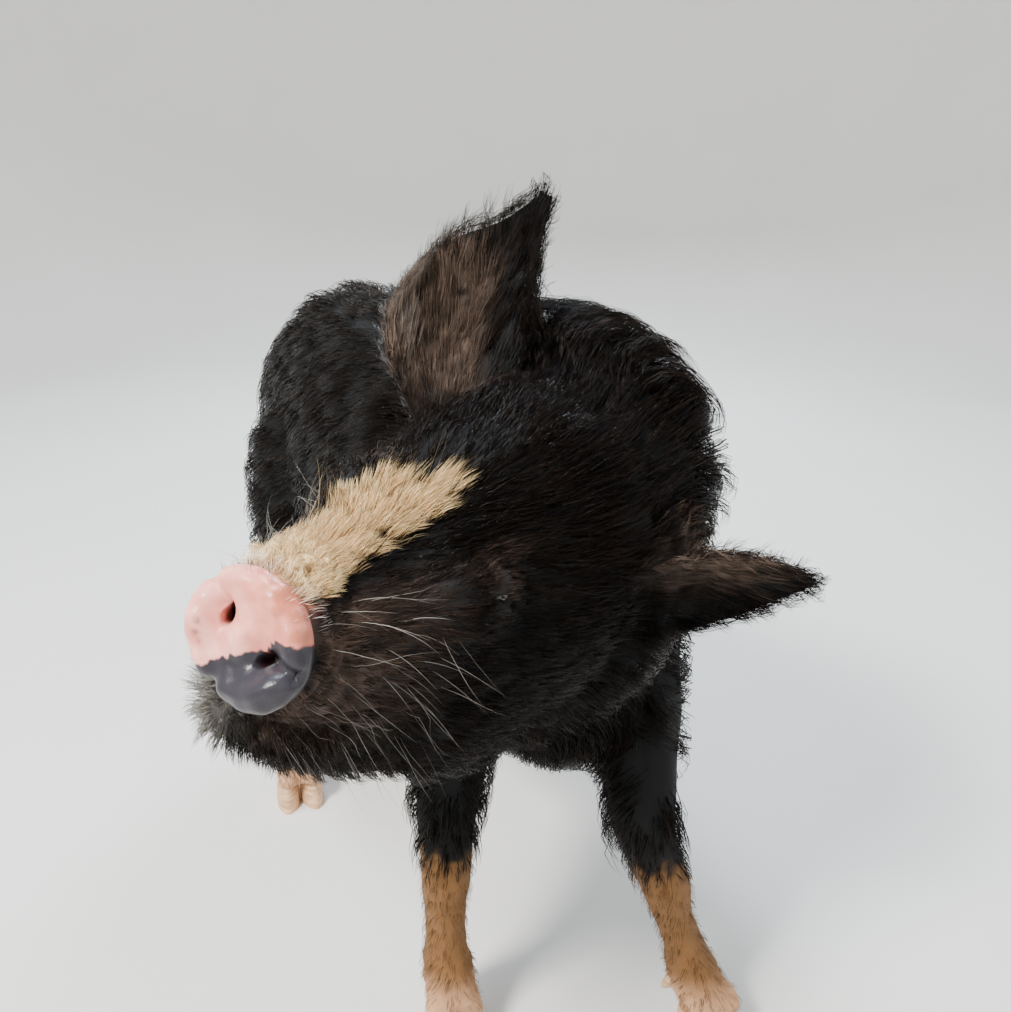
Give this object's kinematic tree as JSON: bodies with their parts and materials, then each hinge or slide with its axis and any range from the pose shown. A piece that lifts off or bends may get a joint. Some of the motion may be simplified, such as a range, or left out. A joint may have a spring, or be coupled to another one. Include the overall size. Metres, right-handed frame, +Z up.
{
  "type": "young pig",
  "caption": "Long-haired young pig standing with its head turned and tilted, a still life-size model.",
  "frame": {"origin": "middle of the model's box in plan, on the floor", "axes": "+Z up, -Y the way the trunk faces, +X the pig's own left"},
  "size_m": [0.4274, 0.9348, 0.6863],
  "materials": {
    "black_coat": "long wet black bristle, glossy, blond on the face",
    "leg_coat": "short coat, black above and tan below",
    "bare_skin": "moist bare skin, pink with a dark grey part",
    "eyeball": "wet, dark brown",
    "hoof_horn": "dull pinkish horn"
  },
  "bodies": {
    "root": {"head": "black_coat", "neck": "black_coat", "torso": "black_coat", "tail": "black_coat", "ear_left": "black_coat", "ear_right": "black_coat", "snout": "bare_skin", "eye_left": "eyeball", "eye_right": "eyeball", "leg_front_left": "leg_coat", "leg_front_right": "leg_coat", "leg_hind_left": "leg_coat", "leg_hind_right": "leg_coat", "hoof_front_left_left": "hoof_horn", "hoof_front_left_right": "hoof_horn", "hoof_front_right_left": "hoof_horn", "hoof_front_right_right": "hoof_horn", "hoof_hind_left_left": "hoof_horn", "hoof_hind_left_right": "hoof_horn", "hoof_hind_right_left": "hoof_horn", "hoof_hind_right_right": "hoof_horn", "dewclaw_front_left_left": "hoof_horn", "dewclaw_front_left_right": "hoof_horn", "dewclaw_front_right_left": "hoof_horn", "dewclaw_front_right_right": "hoof_horn", "dewclaw_hind_left_left": "hoof_horn", "dewclaw_hind_left_right": "hoof_horn", "dewclaw_hind_right_left": "hoof_horn", "dewclaw_hind_right_right": "hoof_horn"}
  },
  "joints": []
}
